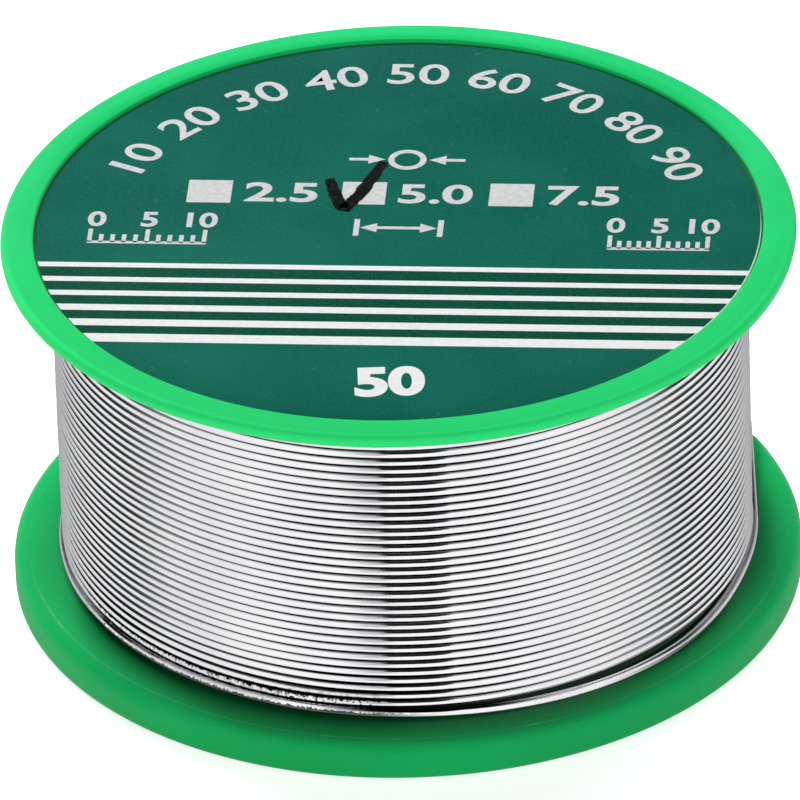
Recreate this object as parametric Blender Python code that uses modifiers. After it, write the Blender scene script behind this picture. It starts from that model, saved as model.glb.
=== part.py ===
"""A spool of solder wire: two moulded flanges on a barrel and a spindle tube, a printed disc in the
dish of the upper flange, and one layer of wire that leaves its last turn for a notch in the rim.

Metres, +Z up along the spool's axis, origin at the centre of the base."""

import math

import bmesh
import bpy
import numpy as np
from mathutils import Matrix

MM = 0.001

# Flanges.
FLANGE_RADIUS = 35.0 * MM
FLANGE_OVERHANG = 4.3 * MM  # how far the flanges stand out past the wire
RIM_WIDTH = 2.9 * MM  # the flat ring round the label dish, and the foot below
LOWER_RIM_HEIGHT = 3.5 * MM
LOWER_WEB = 1.6 * MM
LOWER_TOP_ROUND = 1.0 * MM
LOWER_FOOT_ROUND = 0.6 * MM
UPPER_WEB = 0.7 * MM
UPPER_ROUND = 0.6 * MM
DISH_EDGE_ROUND = 0.2 * MM

# Moulded rings that hold the barrel and the spindle tube.
SPIGOT_HEIGHT = 5.0 * MM
SPIGOT_WALL = 1.7 * MM
HUB_HEIGHT = 6.0 * MM
HUB_WALL = 2.2 * MM
HUB_FOOT_GAP = 0.3 * MM  # the hub and the tube stay this far above the table
RIB_COUNT = 8
RIB_WIDTH = 1.2 * MM
RIB_FOOT_GAP = 0.8 * MM

# Barrel and spindle tube.
BARREL_WALL = 2.2 * MM
BORE_RADIUS = 6.0 * MM
SPINDLE_WALL = 2.0 * MM
TUBE_CHAMFER = 0.4 * MM

# Label.
LABEL_THICKNESS = 0.2 * MM
LABEL_SEAT_GAP = 0.05 * MM
LABEL_REVEAL = 0.35 * MM  # the wall of the dish that shows above the label
LABEL_CLEARANCE = 0.2 * MM

# Wire.
WIRE_DIAMETER = 0.8 * MM
TURNS = 38  # close-wound turns between the flanges
WINDING_SLACK = 0.1 * MM
WINDING_END_GAP = 0.15 * MM  # from the end loops to the flanges
MOST_LOOPS = 24
LEAST_LOOP_GAP = 0.42 * MM
LAST_TURN_PROUD = 0.32 * MM  # the loose last turn stands off the others
START_BEND = 1.2 * MM
START_TAIL_LENGTH = 7.0 * MM
FREE_END_BEND = 1.3 * MM
FREE_END_FOOT = 0.6 * MM  # height of the cut end above the table
NOTCH_INSET = 0.3 * MM  # from the wire in the notch to the flange's edge
CORE_DIAMETER = 0.28 * MM
CORE_GAP = 0.03 * MM

# Fits and facets.
TOUCH_GAP = 0.3 * MM  # between pieces that rest on or pass through each other
CUT_PAST = 1.0 * MM  # how far a cutter runs past what it cuts
SLOT_RELIEF = 0.1 * MM
RING_SEGMENTS = 72
TUBE_SEGMENTS = 48
ARC_STEPS = 4
LOOP_POINTS = 24
BEND_STEPS = 6
SHARP_ANGLE = math.radians(35)
START_AZIMUTH = math.radians(90)

# Sizes that follow from those above.
WIRE_RADIUS = WIRE_DIAMETER / 2
DISH_DEPTH = LABEL_SEAT_GAP + LABEL_THICKNESS + LABEL_REVEAL
DISH_RADIUS = FLANGE_RADIUS - RIM_WIDTH
DECK = LOWER_RIM_HEIGHT  # the lower flange's inner face
CEILING = DECK + TURNS * WIRE_DIAMETER + WINDING_SLACK  # the upper flange's inner face
DISH_FLOOR = CEILING + UPPER_WEB
TOP = DISH_FLOOR + DISH_DEPTH
LOWER_WEB_FOOT = DECK - LOWER_WEB
WIRE_CENTRE_RADIUS = FLANGE_RADIUS - FLANGE_OVERHANG - WIRE_RADIUS
CHORD_SHARE = math.cos(math.pi / LOOP_POINTS)
LOOP_RADIUS = WIRE_CENTRE_RADIUS * 2 / (1 + CHORD_SHARE)  # so that the loops' mean radius is true
BARREL_RADIUS = LOOP_RADIUS * CHORD_SHARE - WIRE_RADIUS - TOUCH_GAP
BARREL_BORE = BARREL_RADIUS - BARREL_WALL
SPIGOT_RADIUS = BARREL_BORE - TOUCH_GAP
SPIGOT_BORE = SPIGOT_RADIUS - SPIGOT_WALL
SPINDLE_RADIUS = BORE_RADIUS + SPINDLE_WALL
HUB_BORE = SPINDLE_RADIUS + TOUCH_GAP
HUB_RADIUS = HUB_BORE + HUB_WALL
SLOT_WIDTH = WIRE_DIAMETER + 2 * TOUCH_GAP
FIRST_TURN_HEIGHT = CEILING - WINDING_END_GAP - WIRE_RADIUS
LAST_TURN_HEIGHT = DECK + WINDING_END_GAP + WIRE_RADIUS
WINDING_RUN = FIRST_TURN_HEIGHT - LAST_TURN_HEIGHT
PART_LOOP = 0.75  # from the start at the back round to the last turn's end at the right
WHOLE_LOOPS = min(
    MOST_LOOPS - 1,
    math.floor(WINDING_RUN / (WIRE_DIAMETER + LEAST_LOOP_GAP) - PART_LOOP),
)
LOOPS = WHOLE_LOOPS + PART_LOOP
PITCH = WINDING_RUN / LOOPS
LAST_TURN_RADIUS = LOOP_RADIUS + LAST_TURN_PROUD
NOTCH_RADIUS = FLANGE_RADIUS - NOTCH_INSET - WIRE_RADIUS
NOTCH_Y = math.sqrt(NOTCH_RADIUS**2 - LAST_TURN_RADIUS**2)
NOTCH_AZIMUTH = math.atan2(NOTCH_Y, LAST_TURN_RADIUS)


def clear_scene():
    for obj in list(bpy.data.objects):
        bpy.data.objects.remove(obj)


def new_collection(name):
    collection = bpy.data.collections.new(name)
    bpy.context.scene.collection.children.link(collection)
    return collection


def linear(channel):
    """One sRGB channel, 0 to 255, as the linear value that a shader takes."""
    share = channel / 255
    return share / 12.92 if share <= 0.04045 else ((share + 0.055) / 1.055) ** 2.4


def new_material(name, srgb, roughness, metallic=0.0):
    material = bpy.data.materials.new(name)
    material.use_nodes = True
    shader = material.node_tree.nodes["Principled BSDF"]
    colour = (*map(linear, srgb), 1.0)
    shader.inputs["Base Color"].default_value = colour
    shader.inputs["Roughness"].default_value = roughness
    shader.inputs["Metallic"].default_value = metallic
    material.diffuse_color = colour
    return material


def arc(centre, radius, start, end, steps=ARC_STEPS):
    """Points of an arc in a profile, from one angle to another in degrees, both ends included."""
    angles = [math.radians(start + (end - start) * i / steps) for i in range(steps + 1)]
    return [(centre[0] + radius * math.cos(a), centre[1] + radius * math.sin(a)) for a in angles]


def add_object(name, data, collection, material=None):
    obj = bpy.data.objects.new(name, data)
    collection.objects.link(obj)
    if material:
        data.materials.append(material)
    return obj


def evaluated_mesh(obj):
    bpy.context.view_layer.update()
    graph = bpy.context.evaluated_depsgraph_get()
    return bpy.data.meshes.new_from_object(obj.evaluated_get(graph), depsgraph=graph)


def settle(obj):
    """Turns the modifiers into mesh, so that the shading's sharp edges can be marked."""
    mesh = evaluated_mesh(obj)
    mesh.name = obj.name
    obj.modifiers.clear()
    obj.data = mesh
    mesh.shade_smooth()
    mesh.set_sharp_from_angle(angle=SHARP_ANGLE)
    return obj


def turned(name, profile, collection, material, segments=RING_SEGMENTS):
    """A ring turned from a closed profile of (radius, height), which runs outwards along its top."""
    mesh = bpy.data.meshes.new(name)
    shape = bmesh.new()
    corners = [shape.verts.new((radius, 0, height)) for radius, height in profile]
    for here, there in zip(corners, corners[1:] + corners[:1]):
        shape.edges.new((here, there))
    shape.to_mesh(mesh)
    shape.free()
    obj = add_object(name, mesh, collection, material)
    screw = obj.modifiers.new("Turn", "SCREW")
    screw.steps = screw.render_steps = segments
    screw.use_merge_vertices = True
    screw.merge_threshold = 0.00001
    return settle(obj)


def disc(name, radius, floor, thickness, collection, material):
    shape = bmesh.new()
    bmesh.ops.create_cone(
        shape,
        cap_ends=True,
        segments=RING_SEGMENTS,
        radius1=radius,
        radius2=radius,
        depth=thickness,
        matrix=Matrix.Translation((0, 0, floor + thickness / 2)),
    )
    mesh = bpy.data.meshes.new(name)
    shape.to_mesh(mesh)
    shape.free()
    mesh.shade_smooth()
    mesh.set_sharp_from_angle(angle=SHARP_ANGLE)
    return add_object(name, mesh, collection, material)


def boxes(name, size_x, size_y, size_z, places, collection):
    """Boxes joined in one helper object. Each place is (radius, azimuth, height) of a centre."""
    shape = bmesh.new()
    for radius, azimuth, height in places:
        matrix = (
            Matrix.Rotation(azimuth, 4, "Z")
            @ Matrix.Translation((radius, 0, height))
            @ Matrix.Diagonal((size_x, size_y, size_z, 1))
        )
        bmesh.ops.create_cube(shape, size=1, matrix=matrix)
    mesh = bpy.data.meshes.new(name)
    shape.to_mesh(mesh)
    shape.free()
    helper = add_object(name, mesh, collection)
    helper.hide_render = True
    helper.display_type = "WIRE"
    return helper


def radial_box(name, inner, outer, azimuth, width, floor, ceiling, collection):
    place = ((inner + outer) / 2, azimuth, (floor + ceiling) / 2)
    return boxes(name, outer - inner, width, ceiling - floor, [place], collection)


def combine(obj, helper, operation):
    boolean = obj.modifiers.new(helper.name, "BOOLEAN")
    boolean.operation = operation
    boolean.object = helper


def wire_curve(name, points, radius, resolution, collection, material=None):
    """A round wire along a run of points, its ends capped."""
    curve = bpy.data.curves.new(name, "CURVE")
    curve.dimensions = "3D"
    curve.bevel_depth = radius
    curve.bevel_resolution = resolution
    curve.use_fill_caps = True
    spline = curve.splines.new("POLY")
    spline.points.add(len(points) - 1)
    for place, point in zip(spline.points, points):
        place.co = (*point, 1)
    return add_object(name, curve, collection, material)


def meshed(curve_object, collection):
    """The curve object's tube as a welded mesh object under the same name."""
    mesh = evaluated_mesh(curve_object)
    shape = bmesh.new()
    shape.from_mesh(mesh)
    bmesh.ops.remove_doubles(shape, verts=shape.verts, dist=0.000001)
    shape.to_mesh(mesh)
    shape.free()
    name = curve_object.name
    matrix = curve_object.matrix_world.copy()
    bpy.data.objects.remove(curve_object)
    obj = bpy.data.objects.new(name, mesh)
    obj.matrix_world = matrix
    collection.objects.link(obj)
    return obj


def lower_flange(parts, helpers, material):
    foot_round = min(LOWER_FOOT_ROUND, LOWER_RIM_HEIGHT / 3)
    top_round = min(LOWER_TOP_ROUND, LOWER_RIM_HEIGHT / 3)
    profile = [
        (HUB_BORE, DECK + HUB_HEIGHT),
        (HUB_RADIUS, DECK + HUB_HEIGHT),
        (HUB_RADIUS, DECK),
        (SPIGOT_BORE, DECK),
        (SPIGOT_BORE, DECK + SPIGOT_HEIGHT),
        (SPIGOT_RADIUS, DECK + SPIGOT_HEIGHT),
        (SPIGOT_RADIUS, DECK),
        *arc((FLANGE_RADIUS - top_round, DECK - top_round), top_round, 90, 0),
        *arc((FLANGE_RADIUS - foot_round, foot_round), foot_round, 0, -90),
        (DISH_RADIUS, 0),
        (DISH_RADIUS, LOWER_WEB_FOOT),
        (HUB_RADIUS, LOWER_WEB_FOOT),
        (HUB_RADIUS, HUB_FOOT_GAP),
        (HUB_BORE, HUB_FOOT_GAP),
    ]
    flange = turned("lower_flange", profile, parts, material)
    rib_sink = min(HUB_WALL, RIM_WIDTH, LOWER_WEB) / 2
    rib_height = LOWER_WEB_FOOT + rib_sink - RIB_FOOT_GAP
    rib_length = DISH_RADIUS - HUB_RADIUS + 2 * rib_sink
    ribs = boxes(
        "flange_ribs",
        rib_length,
        RIB_WIDTH,
        rib_height,
        [
            (
                (DISH_RADIUS + HUB_RADIUS) / 2,
                (i + 0.5) * 2 * math.pi / RIB_COUNT,
                RIB_FOOT_GAP + rib_height / 2,
            )
            for i in range(RIB_COUNT)
        ],
        helpers,
    )
    notch = radial_box(
        "rim_notch_cutter",
        NOTCH_RADIUS - WIRE_RADIUS - TOUCH_GAP,
        FLANGE_RADIUS + CUT_PAST,
        NOTCH_AZIMUTH,
        SLOT_WIDTH,
        -CUT_PAST,
        DECK + CUT_PAST,
        helpers,
    )
    combine(flange, ribs, "UNION")
    combine(flange, notch, "DIFFERENCE")
    return settle(flange)


def upper_flange(parts, helpers, material):
    rim_round = min(UPPER_ROUND, (TOP - CEILING) * 0.48)
    dish_round = min(DISH_EDGE_ROUND, DISH_DEPTH / 2)
    profile = [
        (HUB_BORE, DISH_FLOOR),
        (DISH_RADIUS, DISH_FLOOR),
        *arc((DISH_RADIUS + dish_round, TOP - dish_round), dish_round, 180, 90, 2),
        *arc((FLANGE_RADIUS - rim_round, TOP - rim_round), rim_round, 90, 0),
        *arc((FLANGE_RADIUS - rim_round, CEILING + rim_round), rim_round, 0, -90),
        (SPIGOT_RADIUS, CEILING),
        (SPIGOT_RADIUS, CEILING - SPIGOT_HEIGHT),
        (SPIGOT_BORE, CEILING - SPIGOT_HEIGHT),
        (SPIGOT_BORE, CEILING),
        (HUB_RADIUS, CEILING),
        (HUB_RADIUS, CEILING - HUB_HEIGHT),
        (HUB_BORE, CEILING - HUB_HEIGHT),
    ]
    flange = turned("upper_flange", profile, parts, material)
    slot = radial_box(
        "spigot_slot_cutter",
        SPIGOT_BORE - CUT_PAST,
        SPIGOT_RADIUS + TOUCH_GAP / 2,
        START_AZIMUTH,
        SLOT_WIDTH,
        CEILING - SPIGOT_HEIGHT - CUT_PAST,
        CEILING + SLOT_RELIEF,
        helpers,
    )
    combine(flange, slot, "DIFFERENCE")
    return settle(flange)


def winding_barrel(parts, helpers, material):
    floor = DECK + TOUCH_GAP
    ceiling = CEILING - TOUCH_GAP
    profile = [
        (BARREL_BORE, ceiling),
        (BARREL_RADIUS, ceiling),
        (BARREL_RADIUS, floor),
        (BARREL_BORE, floor),
    ]
    barrel = turned("winding_barrel", profile, parts, material)
    slot = radial_box(
        "barrel_slot_cutter",
        BARREL_BORE - CUT_PAST,
        BARREL_RADIUS + CUT_PAST,
        START_AZIMUTH,
        SLOT_WIDTH,
        FIRST_TURN_HEIGHT - WIRE_RADIUS - TOUCH_GAP,
        ceiling + CUT_PAST,
        helpers,
    )
    combine(barrel, slot, "DIFFERENCE")
    return settle(barrel)


def spindle_tube(parts, material):
    floor = HUB_FOOT_GAP
    ceiling = DISH_FLOOR - TOUCH_GAP
    chamfer = min(TUBE_CHAMFER, SPINDLE_WALL / 3)
    profile = [
        (BORE_RADIUS + chamfer, ceiling),
        (SPINDLE_RADIUS, ceiling),
        (SPINDLE_RADIUS, floor),
        (BORE_RADIUS + chamfer, floor),
        (BORE_RADIUS, floor + chamfer),
        (BORE_RADIUS, ceiling - chamfer),
    ]
    return turned("spindle_tube", profile, parts, material, TUBE_SEGMENTS)


def top_label(parts, material):
    radius = DISH_RADIUS - LABEL_CLEARANCE
    floor = DISH_FLOOR + LABEL_SEAT_GAP
    return disc("top_label", radius, floor, LABEL_THICKNESS, parts, material)


def winding_points():
    """The wire's line: out through the barrel, round and down the drum, straight off the last turn."""
    bend_y = math.sqrt(LOOP_RADIUS**2 - START_BEND**2) - START_BEND
    points = [(0, SPIGOT_BORE - TOUCH_GAP, FIRST_TURN_HEIGHT)]
    for i in range(BEND_STEPS // 2 + 1):
        turn = math.pi / 2 * i / (BEND_STEPS // 2)
        x = START_BEND * (math.cos(turn) - 1)
        y = bend_y + START_BEND * math.sin(turn)
        points.append((x, y, FIRST_TURN_HEIGHT))
    last = round(LOOPS * LOOP_POINTS)
    for i in range(1, last + 1):
        loops = i / LOOP_POINTS
        angle = START_AZIMUTH + 2 * math.pi * loops
        share = min(1, max(0, 1 - 2 * (LOOPS - loops)))
        radius = LOOP_RADIUS + LAST_TURN_PROUD * share * share * (3 - 2 * share)
        height = FIRST_TURN_HEIGHT - PITCH * loops
        points.append((radius * math.cos(angle), radius * math.sin(angle), height))
    points.append((LAST_TURN_RADIUS, WIRE_DIAMETER, LAST_TURN_HEIGHT))
    return points


def least_gap(points):
    """The least gap of a wound tube to itself, between points half a loop or more apart along it."""
    line = np.array(points)
    apart = LOOP_POINTS // 2
    nearest = min(
        np.linalg.norm(line[i + apart :] - line[i], axis=1).min() for i in range(len(line) - apart)
    )
    return nearest - WIRE_DIAMETER


def wire_winding(parts, material):
    points = winding_points()
    print(f"wire_winding: {LOOPS} loops, least gap to itself {least_gap(points) / MM:.3f} mm")
    winding = wire_curve("wire_winding", points, WIRE_RADIUS, 1, parts, material)
    winding.data.twist_mode = "Z_UP"
    return winding


def wire_start_tail(parts, material):
    """The start of the wire, bent down inside the barrel."""
    bend_y = SPIGOT_BORE - 2 * TOUCH_GAP - WIRE_DIAMETER
    points = [(0, SPIGOT_BORE - 2 * TOUCH_GAP, FIRST_TURN_HEIGHT)]
    for i in range(BEND_STEPS + 1):
        turn = math.pi / 2 * i / BEND_STEPS
        y = bend_y - START_BEND * math.sin(turn)
        z = FIRST_TURN_HEIGHT - START_BEND * (1 - math.cos(turn))
        points.append((0, y, z))
    points.append((0, points[-1][1], points[-1][2] - START_TAIL_LENGTH))
    return wire_curve("wire_start_tail", points, WIRE_RADIUS, 2, parts, material)


def free_end_points():
    """The wire from the last turn, straight back over the flange, then down into the rim's notch."""
    hump = DECK + FREE_END_BEND
    start = WIRE_DIAMETER + TOUCH_GAP
    slope = math.atan2(hump - LAST_TURN_HEIGHT, NOTCH_Y - FREE_END_BEND - start)
    centre_y = NOTCH_Y - FREE_END_BEND
    points = [(LAST_TURN_RADIUS, start, LAST_TURN_HEIGHT)]
    for i in range(BEND_STEPS + 1):
        heading = slope - (slope + math.pi / 2) * i / BEND_STEPS
        y = centre_y - FREE_END_BEND * math.sin(heading)
        z = DECK + FREE_END_BEND * math.cos(heading)
        points.append((LAST_TURN_RADIUS, y, z))
    points.append((LAST_TURN_RADIUS, NOTCH_Y, FREE_END_FOOT))
    return points


def stretched(points, length):
    """The same run with its two ends carried straight on by a length."""
    line = np.array(points)
    first = line[0] - line[1]
    last = line[-1] - line[-2]
    line[0] += first / np.linalg.norm(first) * length
    line[-1] += last / np.linalg.norm(last) * length
    return [tuple(point) for point in line]


def wire_free_end(parts, helpers, material):
    """The free end with its bore, as the cut face shows it."""
    points = free_end_points()
    sheath = meshed(wire_curve("wire_free_end", points, WIRE_RADIUS, 2, parts), parts)
    bore_points = stretched(points, CUT_PAST)
    bore_radius = CORE_DIAMETER / 2 + CORE_GAP
    bore = meshed(wire_curve("core_bore_cutter", bore_points, bore_radius, 2, helpers), helpers)
    bore.hide_render = True
    bore.display_type = "WIRE"
    sheath.data.materials.append(material)
    combine(sheath, bore, "DIFFERENCE")
    return settle(sheath)


def flux_core(parts, material):
    points = free_end_points()
    return wire_curve("flux_core", points, CORE_DIAMETER / 2, 2, parts, material)


def main():
    clear_scene()
    parts = new_collection("solder_wire_spool")
    helpers = new_collection("cutters")
    helpers.hide_render = True
    upper_green = new_material("upper_green_plastic", (50, 208, 124), 0.38)
    lower_green = new_material("lower_green_plastic", (36, 172, 98), 0.38)
    inner_green = new_material("inner_green_plastic", (36, 172, 98), 0.5)
    label_green = new_material("label_print", (18, 98, 82), 0.45)
    solder = new_material("solder_metal", (232, 232, 234), 0.22, 1.0)
    flux = new_material("flux_resin", (196, 142, 62), 0.3)
    lower_flange(parts, helpers, lower_green)
    upper_flange(parts, helpers, upper_green)
    winding_barrel(parts, helpers, inner_green)
    spindle_tube(parts, inner_green)
    top_label(parts, label_green)
    wire_winding(parts, solder)
    wire_start_tail(parts, solder)
    wire_free_end(parts, helpers, solder)
    flux_core(parts, flux)


main()
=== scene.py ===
"""The finish of the solder wire spool: moulded flanges, the printed disc and every turn of the wire.

Sizes are in millimetres until a mesh is made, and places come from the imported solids."""

import math
import random

import bmesh
import bpy
from mathutils import Matrix, Vector, noise


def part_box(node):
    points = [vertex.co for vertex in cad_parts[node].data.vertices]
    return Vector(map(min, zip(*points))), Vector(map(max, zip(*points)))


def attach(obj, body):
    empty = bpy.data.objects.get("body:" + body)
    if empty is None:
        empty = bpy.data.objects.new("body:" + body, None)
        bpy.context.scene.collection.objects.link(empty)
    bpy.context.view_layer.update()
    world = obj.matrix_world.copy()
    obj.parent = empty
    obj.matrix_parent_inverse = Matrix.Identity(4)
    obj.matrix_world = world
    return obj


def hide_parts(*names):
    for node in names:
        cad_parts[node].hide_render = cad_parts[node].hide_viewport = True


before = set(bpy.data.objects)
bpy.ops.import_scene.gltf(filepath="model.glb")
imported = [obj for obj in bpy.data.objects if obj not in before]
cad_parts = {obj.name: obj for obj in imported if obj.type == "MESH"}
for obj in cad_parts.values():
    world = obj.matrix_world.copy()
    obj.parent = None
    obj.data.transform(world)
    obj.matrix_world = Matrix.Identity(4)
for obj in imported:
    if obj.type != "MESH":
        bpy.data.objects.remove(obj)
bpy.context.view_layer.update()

MM = 0.001
TOUCH_GAP = 0.3  # the gap that the solids keep between pieces that touch


def solid(node):
    """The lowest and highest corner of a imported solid, in millimetres."""
    low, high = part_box(node)
    return low / MM, high / MM


# Sizes read from the solids.
LOWER_HIGH = solid("lower_flange")[1]
UPPER_HIGH = solid("upper_flange")[1]
BARREL_LOW, BARREL_HIGH = solid("winding_barrel")
TUBE_LOW, TUBE_HIGH = solid("spindle_tube")
LABEL_LOW, LABEL_HIGH = solid("top_label")
END_LOW, END_HIGH = solid("wire_free_end")
TAIL_LOW, TAIL_HIGH = solid("wire_start_tail")

FLANGE_RADIUS = LOWER_HIGH.x
DECK = BARREL_LOW.z - TOUCH_GAP  # inner face of the lower flange
CEILING = BARREL_HIGH.z + TOUCH_GAP  # inner face of the upper flange
TOP = UPPER_HIGH.z
LABEL_RADIUS = LABEL_HIGH.x
LABEL_TOP = LABEL_HIGH.z
LABEL_FLOOR = LABEL_LOW.z
TUBE_RADIUS = TUBE_HIGH.x
HUB_BORE = TUBE_RADIUS + TOUCH_GAP
HUB_HEIGHT = LOWER_HIGH.z - DECK
HUB_FOOT_GAP = TUBE_LOW.z
WIRE_DIAMETER = END_HIGH.x - END_LOW.x
WIRE_RADIUS = WIRE_DIAMETER / 2
LAST_TURN_RADIUS = (END_LOW.x + END_HIGH.x) / 2

# Sizes that the solids have and their corners don't give.
LABEL_CLEARANCE = 0.2
LABEL_SEAT_GAP = 0.05
LOWER_WEB = 1.6
SPIGOT_HEIGHT = 5.0
SPIGOT_WALL = 1.7
HUB_WALL = 2.2
BARREL_WALL = 2.2
BORE_RADIUS = 6.0
FLANGE_OVERHANG = 4.3  # past the outside of the turns
RIB_COUNT = 8
RIB_WIDTH = 1.2
RIB_FOOT_GAP = 0.8

DISH_RADIUS = LABEL_RADIUS + LABEL_CLEARANCE
DISH_FLOOR = LABEL_FLOOR - LABEL_SEAT_GAP
HUB_RADIUS = HUB_BORE + HUB_WALL
BARREL_BORE = BARREL_HIGH.x - BARREL_WALL
SPIGOT_RADIUS = BARREL_BORE - TOUCH_GAP
SPIGOT_BORE = SPIGOT_RADIUS - SPIGOT_WALL
TURN_RADIUS = FLANGE_RADIUS - FLANGE_OVERHANG - WIRE_RADIUS

# Fillets of the mouldings.
LOWER_TOP_ROUND = 1.2
LOWER_FOOT_ROUND = 0.6
UPPER_ROUND = 0.6
FINE_ROUND = 0.3
ROOT_ROUND = 0.5

# The view of the photograph.
VIEW_ELEVATION = math.radians(31.92)
VIEW_DISTANCE = 1400.0
VIEW_ROLL = math.radians(-1.805)
VIEW_TARGET = Vector((-0.32, 0, 17.27))
IMAGE_WIDTH = 800  # pixels
PIXELS_PER_MM = 11.306  # at the target

# Light levels, as the share of full white that each gives a white surface.
WORLD_FILL = 0.19
LEFT_LIGHT = 0.99
RIGHT_LIGHT = 0.28
FRONT_LIGHT = 0.27


def smoothstep(share):
    share = min(1, max(0, share))
    return share * share * (3 - 2 * share)


def linear(channel):
    """One sRGB channel, 0 to 255, as the linear value that a shader takes."""
    share = channel / 255
    return share / 12.92 if share <= 0.04045 else ((share + 0.055) / 1.055) ** 2.4


def colour(red, green, blue):
    return (linear(red), linear(green), linear(blue), 1.0)


BLACK = (0, 0, 0, 1)
WHITE = (1, 1, 1, 1)


# Shaders.


class Signal:
    """A number or colour on a shader socket. Python's operators add Math nodes to it."""

    def __init__(self, finish, socket):
        self.finish = finish
        self.socket = socket

    def math(self, operation, *others):
        return self.finish.math(operation, self, *others)

    def beside(self, output):
        """Another output of the same node."""
        return Signal(self.finish, self.socket.node.outputs[output])

    def __add__(self, other):
        return self.finish.math("ADD", self, other)

    __radd__ = __add__

    def __sub__(self, other):
        return self.finish.math("SUBTRACT", self, other)

    def __rsub__(self, other):
        return self.finish.math("SUBTRACT", other, self)

    def __mul__(self, other):
        return self.finish.math("MULTIPLY", self, other)

    __rmul__ = __mul__

    def __truediv__(self, other):
        return self.finish.math("DIVIDE", self, other)


class Finish:
    """A procedural material being built round its Principled shader."""

    def __init__(self, name, **constants):
        self.material = bpy.data.materials.new(name)
        self.material.use_nodes = True
        self.tree = self.material.node_tree
        self.shader = self.tree.nodes["Principled BSDF"]
        self.set(**constants)

    def node(self, kind, settings=None, sockets=None, output=0):
        """A new node, with its settings made before its sockets are fed."""
        made = self.tree.nodes.new(kind)
        for name, value in (settings or {}).items():
            setattr(made, name, value)
        for name, value in (sockets or {}).items():
            self.feed(made.inputs[name], value)
        return Signal(self, made.outputs[output]) if made.outputs else None

    def feed(self, socket, value):
        if isinstance(value, Signal):
            self.tree.links.new(value.socket, socket)
        else:
            socket.default_value = value

    def math(self, operation, *values):
        return self.node("ShaderNodeMath", {"operation": operation}, dict(enumerate(values)))

    def vector_math(self, operation, *values):
        return self.node("ShaderNodeVectorMath", {"operation": operation}, dict(enumerate(values)))

    def place(self):
        """Object coordinates, which are the solids', in metres."""
        return self.node("ShaderNodeTexCoord", output="Object")

    def parts(self, vector):
        x = self.node("ShaderNodeSeparateXYZ", sockets={0: vector})
        return x, x.beside("Y"), x.beside("Z")

    def millimetres(self, place):
        """A place's three coordinates, in millimetres."""
        return self.parts(self.vector_math("MULTIPLY", place, (1 / MM, 1 / MM, 1 / MM)))

    def noise(self, vector, scale, detail=2.0):
        """Noise from 0 to 1, its scale in waves to a metre."""
        sockets = {"Vector": vector, "Scale": scale, "Detail": detail}
        return self.node("ShaderNodeTexNoise", sockets=sockets, output="Fac")

    def ramp(self, value, low, high, out_low=0.0, out_high=1.0):
        """A smooth step of a number from one range to another."""
        settings = {"interpolation_type": "SMOOTHSTEP"}
        sockets = {0: value, 1: low, 2: high, 3: out_low, 4: out_high}
        return self.node("ShaderNodeMapRange", settings, sockets)

    def band(self, value, rise, fall):
        """1 between a smooth step up and a smooth step down, each given by its two ends."""
        return self.ramp(value, *rise) * self.ramp(value, *fall, 1, 0)

    def mix(self, share, first, second):
        """A mix of two colours."""
        sockets = {"Factor": share, 6: first, 7: second}
        return self.node("ShaderNodeMix", {"data_type": "RGBA"}, sockets, output=2)

    def bump(self, height, distance, strength):
        """A bump whose distance is in millimetres."""
        sockets = {"Height": height, "Distance": distance * MM, "Strength": strength}
        self.set(normal=self.node("ShaderNodeBump", sockets=sockets))

    def set(self, **values):
        """Feed the Principled shader's sockets, named in lower case with underscores."""
        sockets = {socket.name.lower().replace(" ", "_"): socket for socket in self.shader.inputs}
        for name, value in values.items():
            self.feed(sockets[name], value)


class Room(Finish):
    """The world's nodes, which have no Principled shader."""

    def __init__(self, tree):
        self.tree = tree
        tree.nodes.clear()


def radius_of(finish, place):
    """Distance from the spool's axis, in millimetres."""
    east, north, _ = finish.millimetres(place)
    return (east * east + north * north).math("SQRT")


def azimuth_of(finish, east, north):
    """The angle round the axis from the front, in degrees, positive to the right."""
    return finish.math("ARCTAN2", east, 0 - north) * (180 / math.pi)


# The plastic.

# Painted shade: a dark line in the corner between the dish wall and the disc.
CORNER_SHADE = colour(66, 112, 48)
CORNER_SHADE_WIDTH = 0.1  # in the corner of the dish
CORNER_SHADE_HEIGHT = 0.14  # above the disc
# Widths of the top ring's painted shade inside and painted light at its outer edge.
SHADED_WIDTH = 1.5  # of the top ring, from its inner edge
LIT_WIDTH = 0.75  # of the top ring, from its outer edge
# Painted shade on the deck beside the wire, and a painted contact shadow where they meet.
DECK_SHADE = colour(4, 40, 14)
DECK_SHADE_WIDTH = 3.6  # of the deck, out from the middle of the wire
CONTACT_SHADOW = colour(14, 30, 20)
CONTACT_SHADOW_WIDTH = 1.05
# Painted highlight round the deck's edge, where it turns into the rounding.
RIM_HIGHLIGHT = colour(110, 224, 160)
RIM_HIGHLIGHT_RADIUS = FLANGE_RADIUS - 1.3
RIM_HIGHLIGHT_HALF_WIDTH = 0.16
DRUM_SHADE = colour(22, 24, 24)


def green_plastic(name, light, dark):
    """The start of a smooth green plastic: its finish, its place, and a tone with faint flow marks."""
    finish = Finish(name, specular_ior_level=0.12)
    place = finish.place()
    flow = finish.noise(place, 60, 3)
    speck = finish.noise(place, 2600)
    finish.set(roughness=finish.ramp(flow, 0.3, 0.7, 0.30, 0.40) + speck * 0.04)
    finish.bump(finish.noise(place, 900, 3) + speck * 0.25, 0.012, 0.5)
    return finish, place, finish.mix(finish.ramp(flow, 0.35, 0.65), dark, light)


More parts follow.
